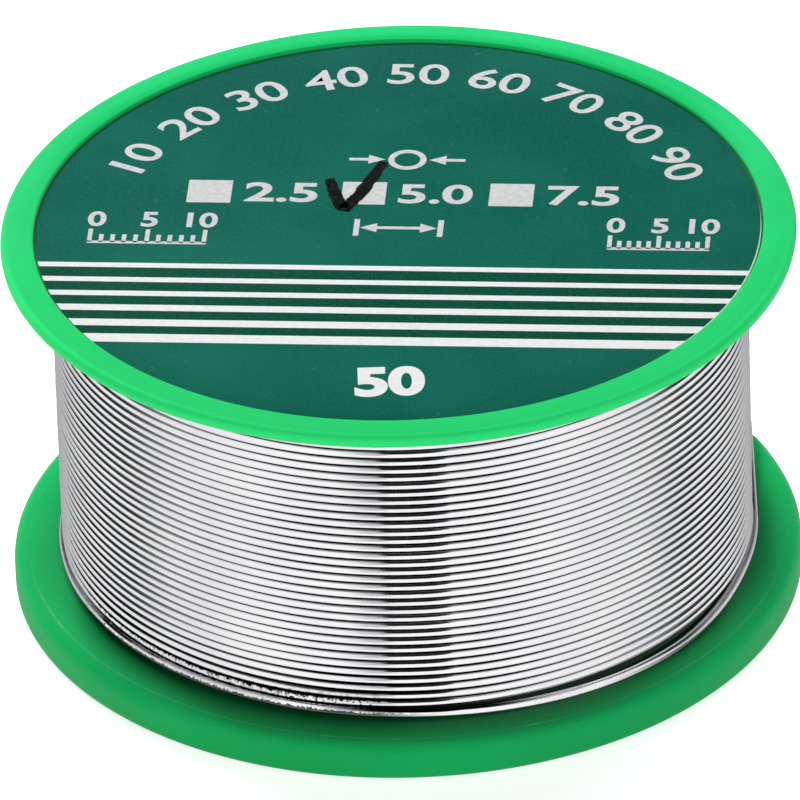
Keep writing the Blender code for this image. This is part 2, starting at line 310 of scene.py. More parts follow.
def upper_plastic():
    """The upper flange's: painted shade in the dish's corner, painted shade deeper green inside, and a
    painted lighter edge in front.
    """
    finish, place, tone = green_plastic("upper_green", colour(47, 221, 131), colour(41, 215, 124))
    _, north, height = finish.millimetres(place)
    radius = radius_of(finish, place)
    # Painted shade in the corner between the dish wall and the disc.
    corner = finish.ramp(radius, DISH_RADIUS + CORNER_SHADE_WIDTH / 2, DISH_RADIUS + CORNER_SHADE_WIDTH, 1, 0)
    corner *= finish.ramp(height, LABEL_TOP + 0.02, LABEL_TOP + CORNER_SHADE_HEIGHT, 1, 0)
    corner *= finish.ramp(height, CEILING, DISH_FLOOR)
    tone = finish.mix(corner * 0.8, tone, CORNER_SHADE)
    # Painted shade: the inner part of the top ring darker and deeper green at the back.
    shaded = finish.ramp(radius, DISH_RADIUS + 0.2, DISH_RADIUS + SHADED_WIDTH, 1, 0)
    shaded *= finish.ramp(north, 4, 22)
    tone = finish.mix(shaded * 0.75, tone, colour(18, 198, 102))
    # Painted light: the ring painted a deeper green towards the front, and its outer edge painted
    # lighter, most of all in front.
    front = finish.ramp(north, 10, -15)
    tone = finish.mix(front * 0.8, tone, colour(40, 219, 115))
    lit = finish.mix(front, colour(47, 214, 126), colour(50, 248, 134))
    edge = finish.ramp(radius, FLANGE_RADIUS - LIT_WIDTH, FLANGE_RADIUS - LIT_WIDTH / 3)
    finish.set(base_color=finish.mix(edge, tone, lit))
    return finish.material


def lower_plastic():
    """The lower flange's: painted shade on the deck by the wire with a painted contact shadow, and a
    painted highlight line round its edge.
    """
    # The same plastic as the upper flange, painted a darker green as painted shade.
    finish, place, tone = green_plastic("lower_green", colour(28, 194, 106), colour(24, 188, 101))
    east, north, height = finish.millimetres(place)
    radius = radius_of(finish, place)
    on_deck = finish.ramp(height, DECK - 0.3, DECK - 0.15)
    # Painted shade on the deck, darkest by the wire and weaker on the left, where the lamp falls.
    deck_shade = finish.ramp(radius, TURN_RADIUS + 0.4, TURN_RADIUS + DECK_SHADE_WIDTH, 1, 0) * on_deck
    deck_shade *= finish.ramp(east, -31, -26, 0.3, 1)
    tone = finish.mix(deck_shade * 0.66, tone, DECK_SHADE)
    # Painted contact shadow in a thin ring where the wire meets the deck.
    contact_shadow = finish.ramp(radius, TURN_RADIUS + 0.5, TURN_RADIUS + CONTACT_SHADOW_WIDTH, 1, 0) * on_deck
    tone = finish.mix(contact_shadow * 0.25, tone, CONTACT_SHADOW)
    # Painted highlight: a light line where the deck turns into its rounded edge, broken into glints and
    # fainter in front.
    off_line = (radius - RIM_HIGHLIGHT_RADIUS).math("ABSOLUTE")
    line = finish.ramp(off_line, 0.03, RIM_HIGHLIGHT_HALF_WIDTH, 1, 0) * on_deck
    line *= finish.ramp(north, -14, -6, 1, 0.2)
    glint_flecks = finish.ramp(finish.noise(place, 150, 4), 0.52, 0.62)
    tone = finish.mix(line * (0.2 + 0.55 * glint_flecks), tone, RIM_HIGHLIGHT)
    finish.set(base_color=tone)
    return finish.material


def inner_plastic():
    """The drum's and the bush's: painted shade, dark on the outside, where the wire lies on it."""
    finish, place, tone = green_plastic("inner_green", colour(26, 188, 102), colour(22, 182, 97))
    # Painted shade on the outside of the drum, where it shows past the wire.
    drum_shade = finish.ramp(radius_of(finish, place), TURN_RADIUS - 1.0, TURN_RADIUS - 0.6)
    finish.set(base_color=finish.mix(drum_shade * 0.95, tone, DRUM_SHADE))
    return finish.material


# The print. Its marks are laid out with the disc's own up direction, then turned with it.

LABEL_TURN = -4.9  # degrees
PRINT_SHIFT = Vector((-1.11, 0.45))  # the print runs past the paper all round but at the right
PRINT_RADIUS = LABEL_RADIUS + 1.07
STRIPE_HEIGHTS = (-6.63, -9.03, -11.33, -13.71, -16.18, -18.72)
STRIPE_WIDTHS = (0.76, 0.78, 0.82, 1.0, 1.1, 1.36)
WHITE_LEVEL = (-5.6, -4.6)  # the marks turn from white to grey between these


def print_level(finish, place):
    """How far up the print a place is from the disc's middle, in millimetres."""
    east, north, _ = finish.millimetres(place)
    turn = math.radians(LABEL_TURN)
    return north * math.cos(turn) - east * math.sin(turn)


def label_paper():
    """The printed disc: dark green ink on white paper whose edge shows where the print sits off it."""
    finish = Finish("label_paper", specular_ior_level=0.08)
    place = finish.place()
    grain = finish.noise(place, 3200, 3)
    cloud = finish.noise(place, 90, 3)
    _, north, _ = finish.millimetres(place)
    # Painted light: the ink is lighter towards the front.
    front_lightening = finish.ramp(north, 25, -25)
    tone = finish.ramp(cloud, 0.35, 0.7) * 0.4 + front_lightening * 0.6
    ink = finish.mix(tone, colour(4, 90, 77), colour(22, 112, 93))
    level = print_level(finish, place)
    low, high = STRIPE_HEIGHTS[-1], STRIPE_HEIGHTS[0]
    striped = finish.band(level, (low - 0.5, low + 0.5), (high - 0.35, high + 0.35))
    ink = finish.mix(striped * 0.8, ink, colour(5, 66, 44))
    speck = finish.ramp(finish.noise(place, 5200), 0.42, 0.66)
    ink = finish.mix(speck * 0.2, ink, colour(44, 138, 116))
    worn = finish.ramp(finish.noise(place, 1500), 0.72, 0.78)
    ink = finish.mix(worn * 0.25, ink, colour(120, 160, 150))
    from_middle = finish.vector_math("SUBTRACT", place, (PRINT_SHIFT * MM).to_3d())
    edge = finish.ramp(radius_of(finish, from_middle), PRINT_RADIUS - 0.03, PRINT_RADIUS + 0.03)
    finish.set(
        base_color=finish.mix(edge, ink, colour(232, 232, 228)),
        roughness=0.34 + grain * 0.12,
    )
    finish.bump(grain, 0.006, 0.6)
    return finish.material


def print_ink():
    """The white marks, brighter from the stripes down."""
    finish = Finish("print_ink", coat_weight=0.3, coat_roughness=0.15)
    place = finish.place()
    patch = finish.noise(place, 1800, 3)
    worn = finish.ramp(patch, 0.3, 0.75)
    grey = finish.mix(worn, colour(226, 226, 226), colour(208, 210, 210))
    white = finish.mix(worn, colour(253, 254, 254), colour(243, 246, 245))
    lower = finish.ramp(print_level(finish, place), *WHITE_LEVEL, 1, 0)
    finish.set(base_color=finish.mix(lower, grey, white), roughness=0.35 + patch * 0.15)
    return finish.material


def marker_ink():
    """Felt pen, black where it is wet and greyer where it ran dry."""
    finish = Finish("marker_ink")
    streak = finish.noise(finish.place(), 2200)
    dry = finish.ramp(streak, 0.35, 0.7)
    finish.set(
        base_color=finish.mix(dry, colour(8, 10, 10), colour(30, 36, 34)),
        roughness=0.4 + streak * 0.2,
    )
    return finish.material


# The wire's metal.

WOUND_ROUGHNESS = 0.04
LOOSE_ROUGHNESS = 0.34
DARK_REFLECTION_PLACES = 3  # round the winding, one of them in front
# Colours of the painted shade in the grooves and of the painted reflections on the wire.
GROOVE_SHADE = colour(158, 158, 161)
DARKEST_GROOVE = colour(12, 12, 13)
UNDERSIDE_SHADE = colour(16, 17, 18)
DECK_REFLECTION = colour(10, 52, 26)
GAP_REFLECTION = colour(22, 21, 23)


class DrawnTin(Finish):
    """Bright drawn tin with a fine grain, to which a wound stretch adds its wear, its painted shade and
    its painted reflections.
    """

    def __init__(self, name, polish):
        super().__init__(name, metallic=1.0)
        self.polish = polish
        self.spot = self.place()
        cloud = self.noise(self.spot, 140, 3)
        bright, dull = colour(250, 250, 251), colour(242, 242, 245)
        self.tone = self.mix(self.ramp(cloud, 0.3, 0.7), bright, dull)
        along_turns = self.vector_math("MULTIPLY", self.spot, (1, 1, 6))
        self.grain = self.noise(along_turns, 1400, 3)

    def done(self):
        self.set(base_color=self.tone, roughness=self.polish + self.grain * 0.08)
        self.bump(self.grain, 0.004, 0.5)
        return self.material


def wound_tin():
    """The winding's. Between the turns it has painted shade, and is painted black in three places round
    it as a painted reflection of a dark opening.

    The lowest turns are worn and speckled at the front left. The last turn has speckled painted shade
    below there, a painted reflection of a dark gap above in front and of the green deck below at the
    right, and is dull from the right round to the back.
    """
    tin = DrawnTin("solder_tin", WOUND_ROUGHNESS)
    east, north, up = tin.millimetres(tin.spot)
    height = up - DECK
    azimuth = azimuth_of(tin, east, north)
    front_left = tin.band(azimuth, (-80, -60), (-8, 6))
    front = tin.band(azimuth, (-16, -6), (12, 26))
    right = tin.band(azimuth, (30, 50), (55, 72))
    speckle = tin.noise(tin.spot, 3600) - 0.5

    # Painted reflection of the room's dark opening: the grooves black in front, repeated at two more
    # places round the winding. The same black is in the grooves of the worn lowest turns at the front
    # left.
    spread = ((azimuth + 1) * math.radians(DARK_REFLECTION_PLACES)).math("COSINE")
    dark_reflection = tin.ramp(spread, 0.05, 0.89)
    worn = front_left * tin.ramp(height, 1.8, 6.5, 1, 0)
    groove = tin.mix(dark_reflection.math("MAXIMUM", worn), GROOVE_SHADE, DARKEST_GROOVE)
    # Painted shade in the grooves between the turns, wider where the painted reflection and the wear
    # are.
    out = radius_of(tin, tin.spot) - TURN_RADIUS - dark_reflection * 0.03 - worn * 0.1
    out += front_left * tin.ramp(height, 1.6, 2.8, 1, 0) * speckle * 0.35
    tin.tone = tin.mix(tin.ramp(out, 0.16, 0.25), groove, tin.tone)

    # The last turn's middle falls as it goes round, and more where it sags at the right.
    level = height - (0.78 - azimuth / 450 - tin.ramp(azimuth, -5, 45, 0, 0.27))
    # Painted shade, speckled, under the last turn at the front left, and a painted reflection of the
    # green deck under it at the right.
    below = front_left * tin.ramp(level + speckle * 0.7, -0.02, 0.12, 1, 0)
    below += right * tin.ramp(level, 0.05, 0.2, 1, 0)
    tin.tone = tin.mix(below * 0.92, tin.tone, tin.mix(front_left, DECK_REFLECTION, UNDERSIDE_SHADE))
    # Painted reflection of the dark gap on the upper part of the last turn, in front.
    above = tin.band(level, (0.12, 0.2), (0.46, 0.54))
    tin.tone = tin.mix(front * above, tin.tone, GAP_REFLECTION)

    crust = tin.ramp(tin.noise(tin.spot, 130), 0.36, 0.5)
    crust *= tin.ramp(height, 0.9, 3.0, 1, 0) * (1 - front) * tin.ramp(azimuth, 10, 50, 1, 0.1)
    tin.grain += crust * (speckle + 0.5) * 12
    tin.grain += tin.ramp(azimuth, 44, 60) * tin.ramp(height, 0.95, 1.1, 1, 0) * 5
    return tin.done()


def flux_resin():
    """Amber resin, cloudy."""
    finish = Finish("flux_resin")
    cloud = finish.noise(finish.place(), 3000)
    finish.set(
        base_color=finish.mix(cloud, colour(186, 128, 52), colour(214, 168, 88)),
        roughness=0.25 + cloud * 0.2,
    )
    return finish.material


# Meshes.

SHARP_ANGLE = math.radians(35)
SAME_PLACE = 0.0001


def mesh_object(name, shape, material, slot, *nodes):
    """A finished piece on the spool from a bmesh in millimetres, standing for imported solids."""
    bmesh.ops.scale(shape, vec=(MM, MM, MM), verts=shape.verts)
    bmesh.ops.recalc_face_normals(shape, faces=shape.faces)
    mesh = bpy.data.meshes.new(name)
    shape.to_mesh(mesh)
    shape.free()
    mesh.materials.append(material)
    mesh.shade_smooth()
    mesh.set_sharp_from_angle(angle=SHARP_ANGLE)
    obj = bpy.data.objects.new(name, mesh)
    bpy.context.scene.collection.objects.link(obj)
    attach(obj, "root")
    if nodes:
        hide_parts(*nodes)
    return obj


def filleted(corners, steps=5):
    """A profile from corners (radius, height, fillet), with an arc in place of each fillet."""
    points = []
    count = len(corners)
    for i, (x, z, fillet) in enumerate(corners):
        here = Vector((x, z))
        if not fillet:
            points.append(here)
            continue
        before = (Vector(corners[i - 1][:2]) - here).normalized()
        after = (Vector(corners[(i + 1) % count][:2]) - here).normalized()
        half = before.angle(after) / 2
        centre = here + (before + after).normalized() * fillet / math.sin(half)
        start = here + before * fillet / math.tan(half) - centre
        end = here + after * fillet / math.tan(half) - centre
        turn = start.angle_signed(end)
        for step in range(steps + 1):
            points.append(centre + Matrix.Rotation(-turn * step / steps, 2) @ start)
    return points


def spun(profile, segments, closed=True):
    """A bmesh spun round the axis from a profile that is closed, or runs from the axis to it."""
    shape = bmesh.new()
    verts = [shape.verts.new((x, 0, z)) for x, z in profile]
    ahead = verts[1:] + verts[:1] if closed else verts[1:]
    edges = [shape.edges.new(pair) for pair in zip(verts, ahead)]
    bmesh.ops.spin(
        shape,
        geom=verts + edges,
        cent=(0, 0, 0),
        axis=(0, 0, 1),
        dvec=(0, 0, 0),
        angle=2 * math.pi,
        steps=segments,
        use_merge=True,
    )
    if not closed:
        bmesh.ops.remove_doubles(shape, verts=shape.verts, dist=SAME_PLACE)
    bmesh.ops.recalc_face_normals(shape, faces=shape.faces)
    return shape


def helper_object(name, shape):
    """An object that a Boolean reads, in millimetres as the bmesh is."""
    bmesh.ops.recalc_face_normals(shape, faces=shape.faces)
    mesh = bpy.data.meshes.new(name)
    shape.to_mesh(mesh)
    shape.free()
    obj = bpy.data.objects.new(name, mesh)
    bpy.context.scene.collection.objects.link(obj)
    return obj


def combined(shape, others):
    """The bmesh after Booleans with other bmeshes, given as (operation, bmesh)."""
    body = helper_object("boolean_body", shape)
    tools = []
    for operation, other in others:
        tool = helper_object("boolean_tool", other)
        modifier = body.modifiers.new(operation, "BOOLEAN")
        modifier.operation = operation
        modifier.object = tool
        tools.append(tool)
    bpy.context.view_layer.update()
    graph = bpy.context.evaluated_depsgraph_get()
    result = bmesh.new()
    result.from_mesh(body.evaluated_get(graph).to_mesh())
    for obj in [body, *tools]:
        bpy.data.objects.remove(obj)
    return result


def rounded_box(size, matrix, round_by):
    """A box with rounded edges, centred and then moved by a matrix."""
    shape = bmesh.new()
    bmesh.ops.create_cube(shape, size=1, matrix=Matrix.Diagonal((*size, 1)))
    bmesh.ops.bevel(
        shape,
        geom=shape.edges[:],
        offset=round_by,
        segments=2,
        profile=0.5,
        affect="EDGES",
        material=-1,
    )
    bmesh.ops.transform(shape, matrix=matrix, verts=shape.verts)
    return shape


def joined(shapes):
    """One bmesh holding several."""
    whole = bmesh.new()
    for shape in shapes:
        mesh = bpy.data.meshes.new("joined")
        shape.to_mesh(mesh)
        shape.free()
        whole.from_mesh(mesh)
        bpy.data.meshes.remove(mesh)
    return whole


def turned_by(degrees_about_z, x=0.0, y=0.0, z=0.0):
    """A move and then a turn round the axis."""
    return Matrix.Rotation(math.radians(degrees_about_z), 4, "Z") @ Matrix.Translation((x, y, z))


# The moulded pieces.

NOTCH_Y = END_HIGH.y - WIRE_RADIUS
NOTCH_RADIUS = math.hypot(LAST_TURN_RADIUS, NOTCH_Y)
NOTCH_AZIMUTH = math.degrees(math.atan2(NOTCH_Y, LAST_TURN_RADIUS))
NOTCH_WIDTH = WIRE_DIAMETER + 2 * TOUCH_GAP
RIB_SINK = 0.6  # how far a rib runs into what it joins
RIB_ROUND = 0.15
HIDDEN_GAP = 0.02  # between the drum and what it touches
FLANGE_SEGMENTS = 288
DRUM_SEGMENTS = 144


def ribs(web_foot):
    """The ribs under the lower flange, from the hub to the rim."""
    length = DISH_RADIUS - HUB_RADIUS + 2 * RIB_SINK
    top = web_foot + RIB_SINK
    size = (length, RIB_WIDTH, top - RIB_FOOT_GAP)
    middle = ((DISH_RADIUS + HUB_RADIUS) / 2, 0, (top + RIB_FOOT_GAP) / 2)
    return joined(
        rounded_box(size, turned_by((i + 0.5) * 360 / RIB_COUNT, *middle), RIB_ROUND)
        for i in range(RIB_COUNT)
    )


def lower_flange(material):
    web_foot = DECK - LOWER_WEB
    profile = filleted(
        [
            (HUB_BORE, DECK + HUB_HEIGHT, FINE_ROUND),
            (HUB_RADIUS, DECK + HUB_HEIGHT, FINE_ROUND),
            (HUB_RADIUS, DECK, 0),
            (SPIGOT_BORE, DECK, 0),
            (SPIGOT_BORE, DECK + SPIGOT_HEIGHT, FINE_ROUND),
            (SPIGOT_RADIUS, DECK + SPIGOT_HEIGHT, FINE_ROUND),
            (SPIGOT_RADIUS, DECK, 0),
            (FLANGE_RADIUS, DECK, LOWER_TOP_ROUND),
            (FLANGE_RADIUS, 0, LOWER_FOOT_ROUND),
            (DISH_RADIUS, 0, FINE_ROUND),
            (DISH_RADIUS, web_foot, ROOT_ROUND),
            (HUB_RADIUS, web_foot, ROOT_ROUND),
            (HUB_RADIUS, HUB_FOOT_GAP, FINE_ROUND),
            (HUB_BORE, HUB_FOOT_GAP, FINE_ROUND),
        ]
    )
    notch_floor = NOTCH_RADIUS - WIRE_RADIUS - TOUCH_GAP
    notch = rounded_box(
        (2 * (FLANGE_RADIUS - notch_floor), NOTCH_WIDTH, 4 * DECK),
        turned_by(NOTCH_AZIMUTH, FLANGE_RADIUS, 0, DECK / 2),
        FINE_ROUND,
    )
    shape = combined(
        spun(profile, FLANGE_SEGMENTS), [("UNION", ribs(web_foot)), ("DIFFERENCE", notch)]
    )
    return mesh_object(
        "lower_flange_moulding", shape, material, "lower_green_plastic", "lower_flange"
    )


def upper_flange(material):
    profile = filleted(
        [
            (HUB_BORE, DISH_FLOOR, 0.2),
            (DISH_RADIUS, DISH_FLOOR, 0.1),
            (DISH_RADIUS, TOP, 0.2),
            (FLANGE_RADIUS, TOP, UPPER_ROUND),
            (FLANGE_RADIUS, CEILING, UPPER_ROUND),
            (SPIGOT_RADIUS, CEILING, 0),
            (SPIGOT_RADIUS, CEILING - SPIGOT_HEIGHT, FINE_ROUND),
            (SPIGOT_BORE, CEILING - SPIGOT_HEIGHT, FINE_ROUND),
            (SPIGOT_BORE, CEILING, 0),
            (HUB_RADIUS, CEILING, 0),
            (HUB_RADIUS, CEILING - HUB_HEIGHT, FINE_ROUND),
            (HUB_BORE, CEILING - HUB_HEIGHT, FINE_ROUND),
        ]
    )
    shape = spun(profile, FLANGE_SEGMENTS)
    return mesh_object(
        "upper_flange_moulding", shape, material, "upper_green_plastic", "upper_flange"
    )


def barrel(material):
    """The drum, grown to touch the wire's inner side."""
    outside = TURN_RADIUS - WIRE_RADIUS - HIDDEN_GAP
    high, low = CEILING - HIDDEN_GAP, DECK + HIDDEN_GAP
    profile = [(BARREL_BORE, high), (outside, high), (outside, low), (BARREL_BORE, low)]
    shape = spun(profile, DRUM_SEGMENTS)
    return mesh_object("winding_drum", shape, material, "inner_green_plastic", "winding_barrel")


def spindle(material):
    """The bush round the bore, its edges rounded."""
    profile = filleted(
        [
            (BORE_RADIUS, TUBE_HIGH.z, 0.4),
            (TUBE_RADIUS, TUBE_HIGH.z, 0.2),
            (TUBE_RADIUS, TUBE_LOW.z, 0.3),
            (BORE_RADIUS, TUBE_LOW.z, 0.5),
        ]
    )
    shape = spun(profile, DRUM_SEGMENTS)
    return mesh_object("spindle_bush", shape, material, "inner_green_plastic", "spindle_tube")


# The printed disc.

PAPER_ROUND = 0.03
INK_HEIGHT = 0.02
INK_SINK = 0.005  # into the paper
STRIPE_MARGIN = 0.02  # from a stripe's ends to the paper's edge
ARC_NUMBERS = [str(10 * (i + 1)) for i in range(9)]
ARC_RADIUS = 26.6
ARC_HALF_SPAN = 64  # degrees
ARC_DIGITS = 3.5  # their height, as for the digits below
GAUGE_LEVEL = 11.8  # of the ring between two arrows
GAUGE_RING = (1.7, 1.15)  # outer and inner radius
GAUGE_TIP = 1.95  # where an arrow's tip is, from the middle
GAUGE_ARROW = 3.2  # length
BOX_LEVEL = 6.0
BOX_SIZE = (3.9, 3.8)
BOXES = ((-17.1, "2.5"), (-3.45, "5.0"), (9.6, "7.5"))
BOX_DIGITS = 3.3
BOX_DIGITS_ASIDE = 6.35
SPAN_LEVEL = 0.2  # of the arrows between two bars
SPAN_TIP = 3.4
SPAN_ARROW = 3.4
SPAN_BAR_ASIDE = 3.7
SPAN_BAR = (0.5, 2.8)
RULER_LEVEL = -1.2
RULERS = ((-22.0, 10.5), (23.0, 9.0))  # middle and width
RULER_NUMBERS = ("0", "5", "10")
RULER_DIGITS = 2.5
RULER_DIGITS_RISE = 2.3
RULER_TICKS = 11
RULER_LINE = 0.4
RULER_FOOT = -1.6  # from the ruler's level
LONG_TICK = 2.2
SHORT_TICK = 1.3
LARGE_NUMBER = "50"
LARGE_PLACE = (1.0, -25.3)
LARGE_DIGITS = 4.9
ARROW_HEAD = 1.5
ARROW_LINE = 0.45


def label(material):
    profile = filleted(
        [
            (0.0, LABEL_TOP, 0),
            (LABEL_RADIUS, LABEL_TOP, PAPER_ROUND),
            (LABEL_RADIUS, LABEL_FLOOR, PAPER_ROUND),
            (0.0, LABEL_FLOOR, 0),
        ],
        steps=2,
    )
    shape = spun(profile, FLANGE_SEGMENTS, closed=False)
    return mesh_object("label_disc", shape, material, "label_print", "top_label")


def text_shape(words, height, x, y, turn=0.0, heavy=0.0, stretch=1.0):
    """Digits as a flat solid of a given height, their middle at a place on the disc.

    What heavy gives is added round their strokes, and stretch widens them.
    """
    curve = bpy.data.curves.new("digits", "FONT")
    curve.body = words
    curve.extrude = INK_HEIGHT / 2
    curve.offset = heavy / height
    curve.resolution_u = 6
    obj = bpy.data.objects.new("digits", curve)
    bpy.context.scene.collection.objects.link(obj)
    bpy.context.view_layer.update()
    graph = bpy.context.evaluated_depsgraph_get()
    shape = bmesh.new()
    shape.from_mesh(obj.evaluated_get(graph).to_mesh())
    bpy.data.objects.remove(obj)
    bmesh.ops.remove_doubles(shape, verts=shape.verts, dist=SAME_PLACE)
    xs = [vert.co.x for vert in shape.verts]
    ys = [vert.co.y for vert in shape.verts]
    size = height / (max(ys) - min(ys))
    matrix = (
        Matrix.Translation((x, y, 0))
        @ Matrix.Rotation(math.radians(turn), 4, "Z")
        @ Matrix.Diagonal((size * stretch, size, 1, 1))
        @ Matrix.Translation((-(max(xs) + min(xs)) / 2, -(max(ys) + min(ys)) / 2, 0))
    )
    bmesh.ops.transform(shape, matrix=matrix, verts=shape.verts)
    return shape


def flat_shape(outline):
    """A flat solid from an outline on the disc."""
    shape = bmesh.new()
    face = shape.faces.new([shape.verts.new((x, y, -INK_HEIGHT / 2)) for x, y in outline])
    grown = bmesh.ops.extrude_face_region(shape, geom=[face])
    risen = [item for item in grown["geom"] if isinstance(item, bmesh.types.BMVert)]
    bmesh.ops.translate(shape, vec=(0, 0, INK_HEIGHT), verts=risen)
    bmesh.ops.recalc_face_normals(shape, faces=shape.faces)
    return shape


def bar(x, y, width, height):
    w, h = width / 2, height / 2
    return flat_shape([(x - w, y - h), (x + w, y - h), (x + w, y + h), (x - w, y + h)])


def stripe(y, width):
    """A stripe right across the paper, its ends round with the paper's edge."""
    steps = 6
    outline = []
    for side in (-1, 1):
        for step in range(steps + 1):
            level = y + side * width * (step / steps - 0.5)
            reach = math.sqrt((LABEL_RADIUS - STRIPE_MARGIN) ** 2 - level**2)
            outline.append((side * reach, level))
    return flat_shape(outline)


def ring_mark(y, outer, inner):
    half = INK_HEIGHT / 2
    shape = spun([(inner, -half), (inner, half), (outer, half), (outer, -half)], 48)
    bmesh.ops.translate(shape, vec=(0, y, 0), verts=shape.verts)
    return shape


def arrow(x, y, length, way):
    """A dimension arrow whose tip is at x and points along way, -1 or 1."""
    half = ARROW_HEAD / 2
    neck = x - way * ARROW_HEAD
    shaft = length - ARROW_HEAD
    return joined(
        [
            flat_shape([(x, y), (neck, y + half), (neck, y - half)][:: -way]),
            bar(neck - way * shaft / 2, y, shaft, ARROW_LINE),
        ]
    )


def small_ruler(x, y, width):
    """Two rows: numbers over a ruler's ticks."""
    foot = y + RULER_FOOT
    shapes = [bar(x, foot, width, RULER_LINE)]
    run = width - RULER_LINE
    for i in range(RULER_TICKS):
        tall = LONG_TICK if i % 5 == 0 else SHORT_TICK
        place = x - run / 2 + run * i / (RULER_TICKS - 1)
        shapes.append(bar(place, foot + tall / 2, RULER_LINE, tall))
    for i, number in enumerate(RULER_NUMBERS):
        digits_x = x + (i - 1) * (width / 2 - 0.6)
        shapes.append(text_shape(number, RULER_DIGITS, digits_x, y + RULER_DIGITS_RISE, heavy=0.07))
    return joined(shapes)


def arc_number(i, number):
    """A number of the arc, upright on its spoke."""
    angle = 90 + ARC_HALF_SPAN * (1 - 2 * i / (len(ARC_NUMBERS) - 1))
    spoke = math.radians(angle)
    x, y = ARC_RADIUS * math.cos(spoke), ARC_RADIUS * math.sin(spoke)
    return text_shape(number, ARC_DIGITS, x, y, angle - 90, heavy=0.045, stretch=1.2)


def label_marks():
    """Every white mark of the print in the disc's own directions."""
    shapes = [arc_number(i, number) for i, number in enumerate(ARC_NUMBERS)]
    shapes.append(ring_mark(GAUGE_LEVEL, *GAUGE_RING))
    for way in (1, -1):
        shapes.append(arrow(-way * GAUGE_TIP, GAUGE_LEVEL, GAUGE_ARROW, way))
    for x, number in BOXES:
        shapes.append(bar(x, BOX_LEVEL, *BOX_SIZE))
        place = (x + BOX_DIGITS_ASIDE, BOX_LEVEL)
        shapes.append(text_shape(number, BOX_DIGITS, *place, heavy=0.08, stretch=1.25))
    for way in (1, -1):
        shapes.append(arrow(way * SPAN_TIP, SPAN_LEVEL, SPAN_ARROW, way))
        shapes.append(bar(way * SPAN_BAR_ASIDE, SPAN_LEVEL, *SPAN_BAR))
    for x, width in RULERS:
        shapes.append(small_ruler(x, RULER_LEVEL, width))
    for height, width in zip(STRIPE_HEIGHTS, STRIPE_WIDTHS):
        shapes.append(stripe(height, width))
    upright = -LABEL_TURN
    shapes.append(
        text_shape(LARGE_NUMBER, LARGE_DIGITS, *LARGE_PLACE, upright, heavy=0.22, stretch=0.98)
    )
    whole = joined(shapes)
    bmesh.ops.transform(whole, matrix=turned_by(LABEL_TURN), verts=whole.verts)
    return whole


def label_print(material):
    shape = label_marks()
    lift = LABEL_TOP + INK_HEIGHT / 2 - INK_SINK
    bmesh.ops.translate(shape, vec=(0, 0, lift), verts=shape.verts)
    return mesh_object("label_marks", shape, material, "label_print")


def marker_tick(material):
    """A hand-drawn tick through the second box, as a felt pen leaves it."""
    route = [  # along the pen's stroke: a place and half the line's width
        (-5.95, 8.9, 0.46),
        (-5.4, 5.9, 0.56),
        (-4.8, 3.5, 0.6),
        (-3.4, 5.9, 0.62),
        (-0.85, 12.0, 0.44),
    ]
    left, right = [], []
    steps = 12
    rough = random.Random(4)
    for i in range(len(route) - 1):
        (x0, y0, w0), (x1, y1, w1) = route[i], route[i + 1]
        run = Vector((x1 - x0, y1 - y0)).normalized()
        side = Vector((-run.y, run.x))
        for step in range(steps):
            share = step / steps
            point = Vector((x0 + (x1 - x0) * share, y0 + (y1 - y0) * share))
            width = w0 + (w1 - w0) * share
            left.append(point + side * (width + rough.uniform(-0.08, 0.08)))
            right.append(point - side * (width + rough.uniform(-0.1, 0.1)))
    shape = flat_shape([tuple(p) for p in left + right[::-1]])
    lift = LABEL_TOP + 1.5 * INK_HEIGHT
    bmesh.ops.translate(shape, vec=(0, 0, lift), verts=shape.verts)
    bmesh.ops.triangulate(shape, faces=shape.faces)
    return mesh_object("marker_tick", shape, material, "label_print")


# The wire.

TURNS_SHOWN = 36.75
WIRE_PITCH = WIRE_DIAMETER
DRAWN_RADIUS = WIRE_RADIUS - 0.002  # a touch thin, so that turns lie side by side without cutting
POINTS_PER_TURN = 150
START_ANGLE = math.radians(90)
START_BEND = 1.2
END_BEND = 1.3
END_START = 0.4  # how far past the last turn's end the free end takes over
END_FOOT = END_LOW.z
FLUX_RADIUS = 0.14
FIRST_HEIGHT = CEILING - WIRE_RADIUS - 0.12
LAST_HEIGHT = DECK + WIRE_RADIUS + 0.15
SAG_HEIGHT = DECK + WIRE_RADIUS + 0.01

# Stretches of the wire, in turns before the last one's end.
LOOSE_FROM = 0.75  # the last turn comes away from the others
LOOSE_RUN = 0.25
LEVEL_FROM = 0.3  # it comes down to its own height
LEAVE_FROM = 0.12  # it turns out to the free end
SLACK_PEAK = 0.119  # it bulges the most
SLACK_LEAD = 0.15  # how far before the peak the bulge starts
SLACK_SPAN = 0.08  # how far after it the bulge ends
UNEVEN_FROM = 4.5  # the lowest turns lie less evenly
UNEVEN_RUN = 3.0

LAST_TURN_PROUD = LAST_TURN_RADIUS - TURN_RADIUS
SLACK_BULGE = 0.7
WANDER = 0.035  # how far a turn strays from the round
UNEVEN_WANDER = 0.06
WAVE = 0.008  # how far it strays up and down


def wire_tube(name, points, radius, material, slot, *nodes, sides=12):
    """A round wire along points in millimetres, made a mesh with its ends closed."""
    curve = bpy.data.curves.new(name, "CURVE")
    curve.dimensions = "3D"
    curve.bevel_depth = radius
    curve.bevel_resolution = (sides - 4) // 2
    curve.use_fill_caps = True
    spline = curve.splines.new("POLY")
    spline.points.add(len(points) - 1)
    for place, point in zip(spline.points, points):
        place.co = (*point, 1)
    obj = bpy.data.objects.new(name, curve)
    bpy.context.scene.collection.objects.link(obj)
    bpy.context.view_layer.update()
    graph = bpy.context.evaluated_depsgraph_get()
    shape = bmesh.new()
    shape.from_mesh(obj.evaluated_get(graph).to_mesh())
    bpy.data.objects.remove(obj)
    bmesh.ops.remove_doubles(shape, verts=shape.verts, dist=SAME_PLACE)
    return mesh_object(name, shape, material, slot, *nodes)


